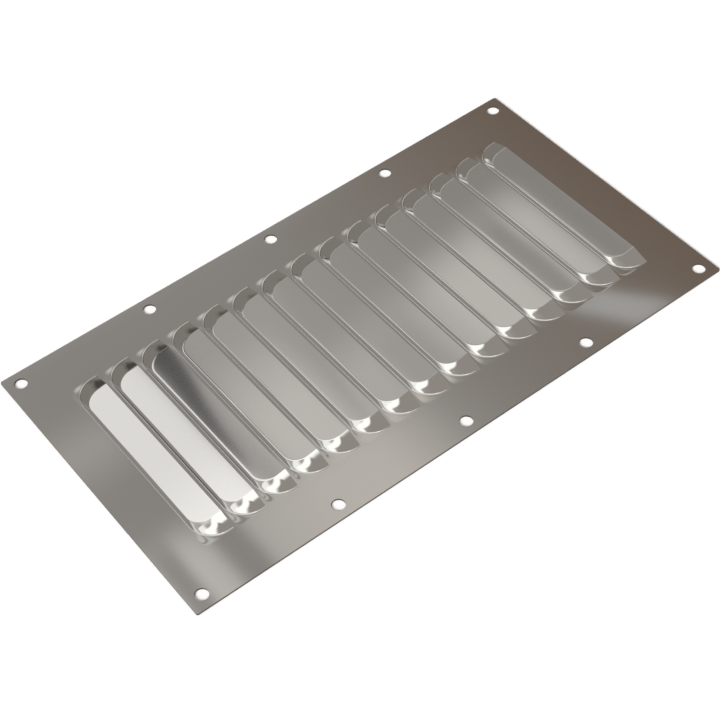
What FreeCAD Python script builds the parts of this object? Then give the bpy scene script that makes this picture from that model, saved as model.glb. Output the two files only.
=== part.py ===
import FreeCAD, Part
import math
import os

# A ventilation panel pressed from one flat rectangle of bright stainless
# sheet: fifteen louvres side by side across it and ten round screw holes
# round the border. Lengths are millimetres. The origin is the middle of the
# flat back, +X runs along the panel to the side the louvres open to, and +Z
# comes out of the front, where the louvres stand up.

# Sheet
PANEL_LENGTH = 232.0
PANEL_WIDTH = 128.0
SHEET = 0.8
CORNER_RADIUS = 0.8

# Screw holes: a row along each long edge, its end holes at the corners
HOLE_DIAMETER = 5.0
HOLE_EDGE = 5.5
HOLES_PER_ROW = 5

# Louvres: each is sheared along one straight line, its mouth, and pushed up
# from the heel on the other side. A narrow web of flat sheet parts them.
LOUVRE_COUNT = 15
END_MARGIN = 17.3
SIDE_MARGIN = 20.5
WEB = 2.1

# Rise of the front face over the flat sheet at the mouth and along the heel,
# and height of the low steep wall that goes all round a louvre's foot
MOUTH_RISE = 2.3
HEEL_RISE = 0.7
FOOT_WALL = 0.2
WALL_ANGLE = math.radians(34)

# The top stops short of the louvre's ends, and a slope runs from it down to
# the foot wall. Radius of the heel's corners at the foot, of the top's corners,
# and of those on the back, where the sheet bends less sharply.
END_RUN = 7.0
FOOT_CORNER = 9.6
TOP_CORNER = 6.5
BACK_CORNER = 8.4

# Radius of the bends on the front face
BEND_RADIUS = 0.5

# Overlap of the shapes that cut the louvre
OVERLAP = 2.0

# Border of flat sheet on a louvre's patch, as a share of the web, and the
# error allowed in finding an edge
PATCH_SHARE = 0.4
TOUCH = 0.001

LOUVRE_PITCH = (PANEL_LENGTH - 2 * END_MARGIN + WEB) / LOUVRE_COUNT
LOUVRE_WIDTH = LOUVRE_PITCH - WEB
LOUVRE_HALF = PANEL_WIDTH / 2 - SIDE_MARGIN
HEEL_RUN = HEEL_RISE / math.tan(WALL_ANGLE)
TOP_ANGLE = math.atan((MOUTH_RISE - HEEL_RISE) / (LOUVRE_WIDTH - HEEL_RUN))

# Box round one louvre on its own axes: mouth on x = 0, middle on y = 0
LEFT = -LOUVRE_WIDTH - OVERLAP
RIGHT = FOOT_CORNER + 2 * OVERLAP
REACH = LOUVRE_HALF + OVERLAP


def vec(x, y, z):
    return FreeCAD.Vector(x, y, z)


def box(x, y, z):
    """Box between two values on each axis."""
    size = (x[1] - x[0], y[1] - y[0], z[1] - z[0])
    return Part.makeBox(*size, vec(x[0], y[0], z[0]))


def outline(heel, half, radius, z):
    """Flat rounded rectangle that runs from a louvre's heel to beyond its mouth."""
    left = heel + radius
    right = OVERLAP
    y = half - radius
    slant = radius * math.sqrt(0.5)
    edges = []
    for along, x in ((-1, left), (1, right)):
        flat = x + along * radius
        edges.append(Part.makeLine(vec(flat, -y, z), vec(flat, y, z)))
        for side in (-1, 1):
            middle = vec(x + along * slant, side * (y + slant), z)
            arc = Part.Arc(vec(flat, side * y, z), middle, vec(x, side * (y + radius), z))
            edges.append(arc.toShape())
    for side in (-1, 1):
        end = side * half
        edges.append(Part.makeLine(vec(left, end, z), vec(right, end, z)))
    return Part.Wire(Part.__sortEdges__(edges))


def foot_outline(rise, depth):
    """Outline of the steep wall round the foot, at a height over the sheet."""
    inward = rise / math.tan(WALL_ANGLE) + depth * math.tan(WALL_ANGLE / 2)
    half = LOUVRE_HALF - inward
    return outline(inward - LOUVRE_WIDTH, half, FOOT_CORNER - inward, SHEET - depth + rise)


def crest_outline(depth):
    """Outline of the top, in the plane that climbs from heel to mouth."""
    inward = depth * math.tan((WALL_ANGLE + TOP_ANGLE) / 2)
    heel = (HEEL_RUN + inward - LOUVRE_WIDTH) / math.cos(TOP_ANGLE)
    radius = BACK_CORNER if depth > TOUCH else TOP_CORNER
    crest = outline(heel, LOUVRE_HALF - END_RUN, radius, 0)
    crest.rotate(vec(0, 0, 0), vec(0, 1, 0), -math.degrees(TOP_ANGLE))
    crest.translate(vec(0, 0, SHEET + MOUTH_RISE - depth / math.cos(TOP_ANGLE)))
    return crest


def crest_edges(layer):
    """Edges round the tilted top, on the louvre's own side of the mouth line."""
    top = max(layer.Faces, key=lambda face: face.BoundBox.ZMin)
    return [edge for edge in top.Edges if edge.BoundBox.XMin < 0]


def foot_edges(form, face):
    """Edges where the wall stands on the flat top of its block."""
    found = []
    for edge in form.Edges:
        room = edge.BoundBox
        level = max(abs(room.ZMin - face), abs(room.ZMax - face)) < TOUCH
        inside = room.XMin > LEFT + TOUCH and room.XMax < RIGHT - TOUCH
        if level and inside:
            found.append(edge)
    return found


def louvre_form(depth):
    """Block with one louvre on it, its faces `depth` below the front ones: the
    wall round the foot, and from there the slopes up to the tilted top."""
    face = SHEET - depth
    front = depth < TOUCH
    rises = (0, FOOT_WALL) if front else (0,)
    rings = [foot_outline(rise, depth) for rise in rises] + [crest_outline(depth)]
    layers = [Part.makeLoft(list(pair), True, True) for pair in zip(rings, rings[1:])]
    if front:
        layers[-1] = layers[-1].makeFillet(BEND_RADIUS, crest_edges(layers[-1]))
    form = box((LEFT, RIGHT), (-REACH, REACH), (face - OVERLAP, face)).fuse(layers)
    if front:
        form = form.makeFillet(BEND_RADIUS, foot_edges(form, face))
    beyond_mouth = box((0, RIGHT), (-REACH, REACH), (face, face + 2 * MOUTH_RISE))
    return form.cut(beyond_mouth)


def flat_blank():
    """The sheet before pressing, with its rounded corners and screw holes."""
    x = PANEL_LENGTH / 2
    y = PANEL_WIDTH / 2
    blank = box((-x, x), (-y, y), (0, SHEET))
    upright = [edge for edge in blank.Edges if edge.BoundBox.ZLength > SHEET / 2]
    blank = blank.makeFillet(CORNER_RADIUS, upright)
    pitch = 2 * (x - HOLE_EDGE) / (HOLES_PER_ROW - 1)
    drills = []
    for i in range(HOLES_PER_ROW):
        for side in (-1, 1):
            place = vec(HOLE_EDGE - x + i * pitch, side * (y - HOLE_EDGE), -OVERLAP)
            drills.append(Part.makeCylinder(HOLE_DIAMETER / 2, SHEET + 2 * OVERLAP, place))
    return blank.cut(drills)


def panel():
    """The finished sheet, with a pressed patch in place of each flat one."""
    edge = PATCH_SHARE * WEB
    height = (-OVERLAP, SHEET + MOUTH_RISE + OVERLAP)
    window = box((-LOUVRE_WIDTH - edge, edge), (-REACH, REACH), height)
    pressed = louvre_form(0).cut(louvre_form(SHEET)).common(window)
    first_mouth = END_MARGIN + LOUVRE_WIDTH - PANEL_LENGTH / 2
    patches = []
    windows = []
    for i in range(LOUVRE_COUNT):
        place = vec(first_mouth + i * LOUVRE_PITCH, 0, 0)
        patches.append(pressed.translated(place))
        windows.append(window.translated(place))
    return flat_blank().cut(windows).fuse(patches).removeSplitter().Solids[0]


os.makedirs("parts", exist_ok=True)
panel().exportStep("parts/louvre_panel.step")
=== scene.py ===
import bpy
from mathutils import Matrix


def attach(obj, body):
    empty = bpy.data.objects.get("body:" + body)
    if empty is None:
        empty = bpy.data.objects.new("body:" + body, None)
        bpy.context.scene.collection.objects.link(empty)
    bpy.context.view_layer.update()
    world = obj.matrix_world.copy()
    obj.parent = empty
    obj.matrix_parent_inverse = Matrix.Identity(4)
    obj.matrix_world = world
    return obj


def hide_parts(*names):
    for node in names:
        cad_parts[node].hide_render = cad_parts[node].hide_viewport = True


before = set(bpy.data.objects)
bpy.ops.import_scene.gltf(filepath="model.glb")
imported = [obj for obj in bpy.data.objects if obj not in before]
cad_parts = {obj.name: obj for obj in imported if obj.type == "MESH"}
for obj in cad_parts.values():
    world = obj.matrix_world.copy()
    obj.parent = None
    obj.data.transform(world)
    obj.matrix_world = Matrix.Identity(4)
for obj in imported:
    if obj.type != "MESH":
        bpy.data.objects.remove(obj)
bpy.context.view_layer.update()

import math

import bmesh
import bpy
from mathutils import Quaternion, Vector

MM = 0.001

# Sheet, holes and louvres, in millimetres, as the solid has them
PANEL_LENGTH = 232.0
PANEL_WIDTH = 128.0
SHEET = 0.8
CORNER_RADIUS = 0.8
HOLE_RADIUS = 2.5
HOLE_EDGE = 5.5
HOLES_PER_ROW = 5
LOUVRE_COUNT = 15
END_MARGIN = 17.3
SIDE_MARGIN = 20.5
WEB = 2.1
MOUTH_RISE = 2.3
HEEL_RISE = 0.7
FOOT_WALL = 0.2
WALL_SLOPE = math.tan(math.radians(34))
END_RUN = 7.0
FOOT_CORNER = 9.6
TOP_CORNER = 6.5

LOUVRE_PITCH = (PANEL_LENGTH - 2 * END_MARGIN + WEB) / LOUVRE_COUNT
LOUVRE_WIDTH = LOUVRE_PITCH - WEB
LOUVRE_HALF = PANEL_WIDTH / 2 - SIDE_MARGIN
HEEL_RUN = HEEL_RISE / WALL_SLOPE
TOP_SLOPE = (MOUTH_RISE - HEEL_RISE) / (LOUVRE_WIDTH - HEEL_RUN)

# Reach of the bends to each side of a fold line: at the foot, over the foot
# wall and round the top
FOOT_BEND = 0.2
WALL_BEND = 0.1
CREST_BEND = 0.3

# Strip of sheet round a louvre's foot, the radius of its outer corners and the
# share of it that stays flat, how far the sheared slit runs past the foot, and
# how far in the mesh round the top goes
STRIP = 0.85
STRIP_CORNER = 3.0
STILL_SHARE = 0.15
SLIT_OVERRUN = 0.5
TOP_RING = 0.8

# How far the pressing draws up the sheet at a heel corner, and a power that is
# over 1 where this is most nearer to the heel than to the end
CORNER_LIFT = 0.07
LIFT_LEAN = 1.4

# Steps of one louvre's mesh: across its top, along each heel corner, along the
# straight heel, through each bend, up each slope and across the strip
TOP_STEPS = 14
CORNER_STEPS = 20
HEEL_STEPS = 14
BEND_STEPS = 4
SLOPE_STEPS = 3
STRIP_STEPS = 3

# Steps round a corner of the sheet, and round a screw hole
SHEET_CORNER_STEPS = 6
HOLE_STEPS = 48

# Angle that tells a cut edge from a bend, and the error allowed in a point
CUT_ANGLE = math.radians(35)
TOUCH = 0.0001


def add_object(name, data):
    """Object with the data, at the origin."""
    made = bpy.data.objects.new(name, data)
    bpy.context.collection.objects.link(made)
    return made


def add_mesh(name, bm):
    """Object with the bmesh as its mesh."""
    mesh = bpy.data.meshes.new(name)
    bm.to_mesh(mesh)
    bm.free()
    return add_object(name, mesh)


def ring(inward, radius, run, height):
    """Points from mouth to mouth round a louvre, on a rounded outline that lies
    inward of the foot by one distance at the heel and another at the ends."""
    left = inward + radius - LOUVRE_WIDTH
    side = LOUVRE_HALF - run - radius
    end = []
    for k in range(TOP_STEPS):
        end.append((left * k / TOP_STEPS, -side - radius))
    for k in range(CORNER_STEPS):
        turn = math.pi / 2 * k / CORNER_STEPS
        end.append((left - radius * math.sin(turn), -side - radius * math.cos(turn)))
    heel = []
    for k in range(HEEL_STEPS + 1):
        heel.append((left - radius, side * (2 * k / HEEL_STEPS - 1)))
    other_end = [(x, -y) for x, y in reversed(end)]
    return [Vector((x, y, height(x))) for x, y in end + heel + other_end]


def top_height(x):
    return MOUTH_RISE + x * TOP_SLOPE


def foot_ring(inward, height=0):
    """Ring that keeps one distance from the foot."""
    return ring(inward, FOOT_CORNER - inward, inward, lambda x: height)


def bend(before, fold, after, reach):
    """Points through a bend from one ring's slope to the next one's."""
    start = fold + (before - fold).normalized() * reach
    end = fold + (after - fold).normalized() * reach
    points = []
    for k in range(BEND_STEPS + 1):
        share = k / BEND_STEPS
        points.append(start.lerp(fold, share).lerp(fold.lerp(end, share), share))
    return points


def corner_lift(k, count):
    """Lift of the sheet at the k-th of the points round a louvre, which is there
    only along the heel's two corners."""
    step = min(k, count - 1 - k) - TOP_STEPS
    share = min(max(step / CORNER_STEPS, 0), 1)
    return CORNER_LIFT * math.sin(math.pi * share ** LIFT_LEAN) ** 2


def louvre_columns():
    """Columns of points side by side round a louvre, each of which climbs from the
    flat sheet on to the louvre's top."""
    wall_run = FOOT_WALL / WALL_SLOPE
    rings = [
        ring(-STRIP, STRIP_CORNER, -STRIP, lambda x: 0),
        foot_ring(-SLIT_OVERRUN),
        foot_ring(0),
        foot_ring(wall_run, FOOT_WALL),
        ring(HEEL_RUN, TOP_CORNER, END_RUN, top_height),
        ring(HEEL_RUN + TOP_RING, TOP_CORNER - TOP_RING, END_RUN + TOP_RING, top_height),
    ]
    columns = []
    for k, points in enumerate(zip(*rings)):
        lift = Vector((0, 0, corner_lift(k, len(rings[0]))))
        outer = points[0]
        slit, foot, shoulder = [point + lift for point in points[1:4]]
        crest, inner = points[4:]
        still = outer.lerp(slit - lift, STILL_SHARE)
        strip = [still.lerp(slit, j / STRIP_STEPS) for j in range(STRIP_STEPS)]
        column = [outer] + strip + [slit] + bend(slit, foot, shoulder, FOOT_BEND)
        low = bend(foot, shoulder, crest, WALL_BEND)
        high = bend(shoulder, crest, inner, CREST_BEND)
        slope = [low[-1].lerp(high[0], j / SLOPE_STEPS) for j in range(1, SLOPE_STEPS)]
        columns.append(column + low + slope + high + [inner])
    return columns


def grid_steps(bm, rows, columns):
    """Adds a grid and gives each of its points with its row and column."""
    made = bmesh.ops.create_grid(bm, x_segments=columns, y_segments=rows, size=1)
    steps = []
    for vert in made["verts"]:
        column = round((vert.co.x + 1) / 2 * columns)
        row = round((vert.co.y + 1) / 2 * rows)
        steps.append((vert, row, column))
    return steps


def louvre_patch():
    """Front face of one louvre with a strip of flat sheet round its foot."""
    bm = bmesh.new()
    columns = louvre_columns()
    for vert, row, column in grid_steps(bm, len(columns[0]) - 1, len(columns) - 1):
        vert.co = columns[column][row]
    across = [column[-1] for column in columns[TOP_STEPS:len(columns) - TOP_STEPS]]
    for vert, row, column in grid_steps(bm, TOP_STEPS, len(across) - 1):
        edge = across[column]
        x = edge.x * (1 - row / TOP_STEPS)
        vert.co = (x, edge.y, top_height(x))
    bmesh.ops.remove_doubles(bm, verts=bm.verts, dist=TOUCH)
    slit = Vector((0, LOUVRE_HALF + SLIT_OVERRUN, 0))
    ends = [min(bm.verts, key=lambda vert: (vert.co - end).length) for end in (-slit, slit)]
    bm.edges.new(ends)
    return bm


def is_rim(edge):
    """True for an edge of a louvre's patch that the flat sheet joins on to: the
    outer ones and the flat side of the slit, not the lip that is pushed up."""
    reach = LOUVRE_HALF + SLIT_OVERRUN + TOUCH
    lip = all(abs(vert.co.x) < TOUCH and abs(vert.co.y) < reach for vert in edge.verts)
    return edge.is_boundary and not lip


def flat_outlines(bm):
    """Adds the edges of the sheet's outline and of its screw holes."""
    x = PANEL_LENGTH / 2
    y = PANEL_WIDTH / 2
    made = bmesh.ops.create_grid(bm, x_segments=1, y_segments=1, size=1)
    bmesh.ops.scale(bm, vec=(x, y, 1), verts=made["verts"])
    bmesh.ops.bevel(bm, geom=made["verts"], offset=CORNER_RADIUS, affect="VERTICES",
                    segments=SHEET_CORNER_STEPS, profile=0.5, material=-1)
    blank = [face for face in bm.faces if len(face.verts) > 4]
    bmesh.ops.delete(bm, geom=blank, context="FACES_ONLY")
    pitch = 2 * (x - HOLE_EDGE) / (HOLES_PER_ROW - 1)
    for k in range(HOLES_PER_ROW):
        for side in (-1, 1):
            hole = bmesh.ops.create_circle(bm, segments=HOLE_STEPS, radius=HOLE_RADIUS)
            place = (HOLE_EDGE - x + k * pitch, side * (y - HOLE_EDGE), 0)
            bmesh.ops.translate(bm, vec=place, verts=hole["verts"])


def pressed_sheet():
    """The whole sheet: fifteen louvres and the flat between and round them, made
    one sheet thick and then turned to metres."""
    bm = louvre_patch()
    patch = bm.verts[:] + bm.edges[:] + bm.faces[:]
    louvres = [patch]
    for k in range(1, LOUVRE_COUNT):
        louvres.append(bmesh.ops.duplicate(bm, geom=patch)["geom"])
    first_mouth = END_MARGIN + LOUVRE_WIDTH - PANEL_LENGTH / 2
    rim = []
    for k, louvre in enumerate(louvres):
        verts = [item for item in louvre if isinstance(item, bmesh.types.BMVert)]
        rim += [item for item in louvre if isinstance(item, bmesh.types.BMEdge) and is_rim(item)]
        bmesh.ops.translate(bm, vec=(first_mouth + k * LOUVRE_PITCH, 0, 0), verts=verts)
    flat_outlines(bm)
    rim += [edge for edge in bm.edges if edge.is_wire]
    bmesh.ops.triangle_fill(bm, use_beauty=True, edges=rim, normal=(0, 0, 1))
    bmesh.ops.recalc_face_normals(bm, faces=bm.faces)
    if sum(face.normal.z for face in bm.faces) < 0:
        bmesh.ops.reverse_faces(bm, faces=bm.faces)
    bmesh.ops.translate(bm, vec=(0, 0, SHEET), verts=bm.verts)
    bmesh.ops.solidify(bm, geom=bm.faces[:], thickness=SHEET)
    bmesh.ops.recalc_face_normals(bm, faces=bm.faces)
    bmesh.ops.scale(bm, vec=(MM, MM, MM), verts=bm.verts)
    for face in bm.faces:
        face.smooth = True
    for edge in bm.edges:
        edge.smooth = edge.calc_face_angle(math.pi) < CUT_ANGLE
    return add_mesh("louvred_sheet", bm)


def colour(code):
    """Linear colour of an sRGB hex code."""
    values = []
    for k in (1, 3, 5):
        s = int(code[k:k + 2], 16) / 255
        values.append(s / 12.92 if s <= 0.04045 else ((s + 0.055) / 1.055) ** 2.4)
    return (*values, 1.0)


def node(tree, kind, settings=None, **links):
    """Adds a node with its settings, and gives its inputs values, sockets, or the
    first output of another node. An input goes by its name or as i0, i1 or i2."""
    made = tree.nodes.new(kind)
    for name, value in (settings or {}).items():
        setattr(made, name, value)
    for name, value in links.items():
        key = int(name[1:]) if name in ("i0", "i1", "i2") else name.replace("_", " ")
        if isinstance(value, bpy.types.Node):
            value = value.outputs[0]
        if isinstance(value, bpy.types.NodeSocket):
            tree.links.new(value, made.inputs[key])
        else:
            made.inputs[key].default_value = value
    return made


# Chrome-nickel stainless strip, cold rolled bright and then pressed. It mirrors
# the room, a little blurred. The rolling leaves a fine grain along the panel,
# drawn coarser than it is so that it shows, and the pressing leaves slow waves in
# the sheet that bend what it mirrors. The sheared edges and the walls of the
# punched holes are torn, so they are dull, and they are also painted dark: painted
# shade on these sideways faces. Lengths are millimetres.
GRAIN_LENGTH = 9.0
GRAIN_WIDTH = 0.35
GRAIN_DEPTH = 0.00025
WAVE_LENGTH = 30.0
WAVE_DEPTH = 0.02
ROLLED_ROUGHNESS = 0.045
CUT_ROUGHNESS = 0.445

# A face is a cut one where its normal climbs less than this out of the sheet;
# there the colour is painted dark as shade and the roughness is raised
CUT_CLIMB = 0.3


def bright_stainless():
    material = bpy.data.materials.new("bright_rolled_stainless")
    material.use_nodes = True
    tree = material.node_tree
    shader = tree.nodes["Principled BSDF"]
    shader.inputs["Metallic"].default_value = 1.0
    spot = node(tree, "ShaderNodeTexCoord")
    facing = node(tree, "ShaderNodeSeparateXYZ", Vector=spot.outputs["Normal"])
    climb = node(tree, "ShaderNodeMath", {"operation": "ABSOLUTE"}, i0=facing.outputs["Z"])
    cut_faces_dull_and_shaded = node(tree, "ShaderNodeMath", {"operation": "LESS_THAN"}, i0=climb, i1=CUT_CLIMB)
    # Cut faces get a dark grey-brown: painted shade on the edges and hole walls. Their rougher
    # finish is real.
    tint = node(tree, "ShaderNodeMixRGB", Fac=cut_faces_dull_and_shaded, Color1=colour("#E2E0DC"),
                Color2=colour("#5A534D"))
    rough = node(tree, "ShaderNodeMath", {"operation": "MULTIPLY_ADD"}, i0=cut_faces_dull_and_shaded,
                 i1=CUT_ROUGHNESS - ROLLED_ROUGHNESS, i2=ROLLED_ROUGHNESS)
    place = spot.outputs["Object"]
    stretch = (1 / (GRAIN_LENGTH * MM), 1 / (GRAIN_WIDTH * MM), 1 / (GRAIN_WIDTH * MM))
    along = node(tree, "ShaderNodeMapping", Vector=place, Scale=stretch)
    grain = node(tree, "ShaderNodeTexNoise", Vector=along, Scale=1.0, Detail=3.0)
    fine = node(tree, "ShaderNodeBump", Height=grain, Strength=1.0,
                Distance=GRAIN_DEPTH * MM)
    slow = 1 / (WAVE_LENGTH * MM)
    wide = node(tree, "ShaderNodeMapping", Vector=place, Scale=(slow, slow, slow))
    wave = node(tree, "ShaderNodeTexNoise", Vector=wide, Scale=1.0, Detail=0.0)
    bent = node(tree, "ShaderNodeBump", Height=wave, Strength=1.0,
                Distance=WAVE_DEPTH * MM, Normal=fine)
    for made, name in ((tint, "Base Color"), (rough, "Roughness"), (bent, "Normal")):
        tree.links.new(made.outputs[0], shader.inputs[name])
    return material


# The studio that the sheet mirrors, drawn as a ceiling one unit up. Each part
# has its span along X, its span along Y, how soft its edges are along each, how
# far its sides lean along X for each unit of Y, its colour and its strength. A
# later part covers the ones before it, and FAR is past everything mirrored.
FAR = 99
CEILING = (
    # grey room
    ((-FAR, FAR), (-FAR, FAR), (1, 1), 0, "#FFFAF5", 0.30),
    # paler wall on the left
    ((-FAR, 0.17), (-FAR, FAR), (0.14, 1), 0, "#FFFCFA", 0.42),
    # light from the near side
    ((-FAR, 0.45), (-FAR, 0.685), (0.12, 0.025), 0, "#FFFDFA", 0.52),
    ((0.35, 0.46), (0.50, 0.685), (0.04, 0.03), 0, "#FFFAF4", 0.60),
    ((0.195, 0.285), (0.55, 0.68), (0.012, 0.03), 0, "#FFFDFA", 0.62),
    # shadows between the things that stand there
    ((0.139, 0.175), (0.55, 0.685), (0.008, 0.03), 0, "#FFFCFA", 0.42),
    ((0.250, 0.267), (0.55, 0.695), (0.004, 0.03), 0, "#FFFCFA", 0.31),
    ((0.292, 0.316), (0.55, 0.725), (0.006, 0.03), 0, "#FFFAF5", 0.29),
    # pale thing over the left border
    ((0.22, 0.292), (0.775, 0.812), (0.01, 0.03), 0, "#FFFCF8", 0.44),
    # dim far end, where the flat sheet turns brown
    ((0.62, FAR), (-FAR, FAR), (0.20, 1), 0, "#FFE0C8", 0.17),
    ((0.655, 0.690), (0.62, 0.675), (0.006, 0.010), -0.7, "#FFFFFF", 0.46),
    # grey in front of the lower ends
    ((-0.30, FAR), (-FAR, 0.34), (0.10, 0.14), 0, "#FFF8F0", 0.34),
    # far wall over the upper ends, with a lit strip low on it and dark parts
    ((-FAR, FAR), (0.98, FAR), (1, 0.06), 0, "#FFF8F0", 0.25),
    ((0.12, 0.60), (0.92, 1.10), (0.05, 0.03), 0.9, "#FFFFFF", 0.90),
    ((-FAR, 0.45), (2.2, 3.7), (0.12, 0.30), 0, "#FFF0E2", 0.08),
    ((0.8, FAR), (3.9, FAR), (0.2, 0.3), 0, "#FFE0C0", 0.05),
    # pale walls low down on the other sides
    ((-FAR, FAR), (-FAR, -1.5), (1, 0.3), 0, "#FFFCFA", 0.60),
    ((2.2, FAR), (-FAR, FAR), (0.5, 1), 0, "#FFFCFA", 0.60),
    ((-FAR, -2.2), (-FAR, FAR), (0.5, 1), 0, "#FFFCFA", 0.60),
    # wall seen by the heels
    ((-FAR, -0.4), (0.4, 1.3), (0.1, 0.1), 0, "#FFFCFA", 0.31),
    # dark gap beside the white card, the wall whose edge leans across it, and the
    # lit part of that wall
    ((0.018, 0.06), (0.655, 1.1), (0.003, 0.02), 0, "#FFFFFF", 0.09),
    ((0.014, 0.10), (0.60, 1.1), (0.003, 0.02), 0.15, "#FFFCFA", 0.42),
    ((0.042, 0.097), (0.55, 0.72), (0.012, 0.05), 0, "#FFFDFA", 0.64),
    # white card
    ((-0.15, 0.018), (0.3, 1.0), (0.003, 0.1), 0, "#FFFFFF", 0.93),
    ((-0.15, 0.018), (0.3, 0.68), (0.003, 0.04), 0, "#FFFFFF", 1.12),
    # lamp low on the left, in front of a pale screen
    ((-0.10, 0.59), (-0.80, 0.56), (0.04, 0.05), -0.68, "#FFFFFF", 0.85),
    ((-0.05, 0.065), (-0.80, 0.56), (0.02, 0.05), 0, "#FFFFFF", 1.35),
)

# Lowest height of a direction that the ceiling counts, so that it has an end
HORIZON = 0.05


def inside_span(tree, value, span, blur):
    """1 where the value lies in the span and 0 elsewhere, with soft edges."""
    low, high = span
    soft = {"interpolation_type": "SMOOTHSTEP"}
    above = node(tree, "ShaderNodeMapRange", soft, Value=value,
                 From_Min=low - blur, From_Max=low + blur)
    below = node(tree, "ShaderNodeMapRange", soft, Value=value,
                 From_Min=high + blur, From_Max=high - blur)
    return node(tree, "ShaderNodeMath", {"operation": "MULTIPLY"}, i0=above, i1=below)


def studio_world():
    world = bpy.data.worlds.new("studio")
    bpy.context.scene.world = world
    world.use_nodes = True
    tree = world.node_tree
    tree.nodes.clear()
    way = node(tree, "ShaderNodeTexCoord").outputs["Generated"]
    parts = node(tree, "ShaderNodeSeparateXYZ", Vector=way)
    up = node(tree, "ShaderNodeMath", {"operation": "MAXIMUM"}, i0=parts.outputs["Z"], i1=HORIZON)
    x = node(tree, "ShaderNodeMath", {"operation": "DIVIDE"}, i0=parts.outputs["X"], i1=up)
    y = node(tree, "ShaderNodeMath", {"operation": "DIVIDE"}, i0=parts.outputs["Y"], i1=up)
    light = colour("#000000")
    for x_span, y_span, blur, lean, code, strength in CEILING:
        tint = [strength * value for value in colour(code)[:3]] + [1.0]
        along = node(tree, "ShaderNodeMath", {"operation": "SUBTRACT"}, i0=y, i1=y_span[0])
        leant = node(tree, "ShaderNodeMath", {"operation": "MULTIPLY_ADD"}, i0=along, i1=-lean,
                     i2=x)
        share = node(tree, "ShaderNodeMath", {"operation": "MULTIPLY"},
                     i0=inside_span(tree, leant, x_span, blur[0]),
                     i1=inside_span(tree, y, y_span, blur[1]))
        light = node(tree, "ShaderNodeMixRGB", Fac=share, Color1=light, Color2=tint)
    seen = node(tree, "ShaderNodeLightPath").outputs["Is Camera Ray"]
    shown = node(tree, "ShaderNodeMixRGB", Fac=seen, Color1=light, Color2=colour("#FFFFFF"))
    back = node(tree, "ShaderNodeBackground", Color=shown)
    node(tree, "ShaderNodeOutputWorld", Surface=back)


# Half the floor's width in metres, and how far it lies under the sheet
FLOOR_REACH = 3.0
FLOOR_DROP = 0.05


def floor():
    """White paper under the sheet."""
    bm = bmesh.new()
    ground = bmesh.ops.create_grid(bm, x_segments=1, y_segments=1, size=FLOOR_REACH)
    bmesh.ops.translate(bm, vec=(0, 0, -FLOOR_DROP * MM), verts=ground["verts"])
    made = add_mesh("floor", bm)
    material = bpy.data.materials.new("white_paper_floor")
    material.use_nodes = True
    shader = material.node_tree.nodes["Principled BSDF"]
    shader.inputs["Base Color"].default_value = colour("#F4F4F4")
    shader.inputs["Roughness"].default_value = 1.0
    shader.inputs["Specular IOR Level"].default_value = 0.0
    made.data.materials.append(material)


# Softbox on the left that lights the floor and the edges: its power, how wide it
# looks from the sheet, and the direction it shines from
LAMP_POWER = 3.6
LAMP_WIDTH = math.radians(25)
LAMP_WAY = Vector((-0.75, -0.35, 0.56))


def lamp():
    light = bpy.data.lights.new("softbox", "SUN")
    light.energy = LAMP_POWER
    light.angle = LAMP_WIDTH
    made = add_object("softbox", light)
    made.rotation_mode = "QUATERNION"
    made.rotation_quaternion = LAMP_WAY.to_track_quat("Z", "Y")


# Camera of the photograph: where it aims on the sheet, its distance and turn
CAMERA_AIM = Vector((-11.0, -12.4, 0.8)) * MM
CAMERA_DISTANCE = 633.2 * MM
CAMERA_AZIMUTH = math.radians(-32.69)
CAMERA_ELEVATION = math.radians(48.92)
CAMERA_ROLL = math.radians(-6.10)
CAMERA_LENS = 88.72


def camera():
    back = Vector((math.sin(CAMERA_AZIMUTH) * math.cos(CAMERA_ELEVATION),
                   -math.cos(CAMERA_AZIMUTH) * math.cos(CAMERA_ELEVATION),
                   math.sin(CAMERA_ELEVATION)))
    data = bpy.data.cameras.new("camera")
    data.lens = CAMERA_LENS
    made = add_object("camera", data)
    made.location = CAMERA_AIM + back * CAMERA_DISTANCE
    made.rotation_mode = "QUATERNION"
    level = (-back).to_track_quat("-Z", "Y")
    made.rotation_quaternion = level @ Quaternion((0, 0, 1), CAMERA_ROLL)
    bpy.context.scene.camera = made


bpy.context.scene.view_settings.view_transform = "Standard"
sheet = pressed_sheet()
sheet.data.materials.append(bright_stainless())
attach(sheet, "root")
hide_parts("louvre_panel")
studio_world()
floor()
lamp()
camera()
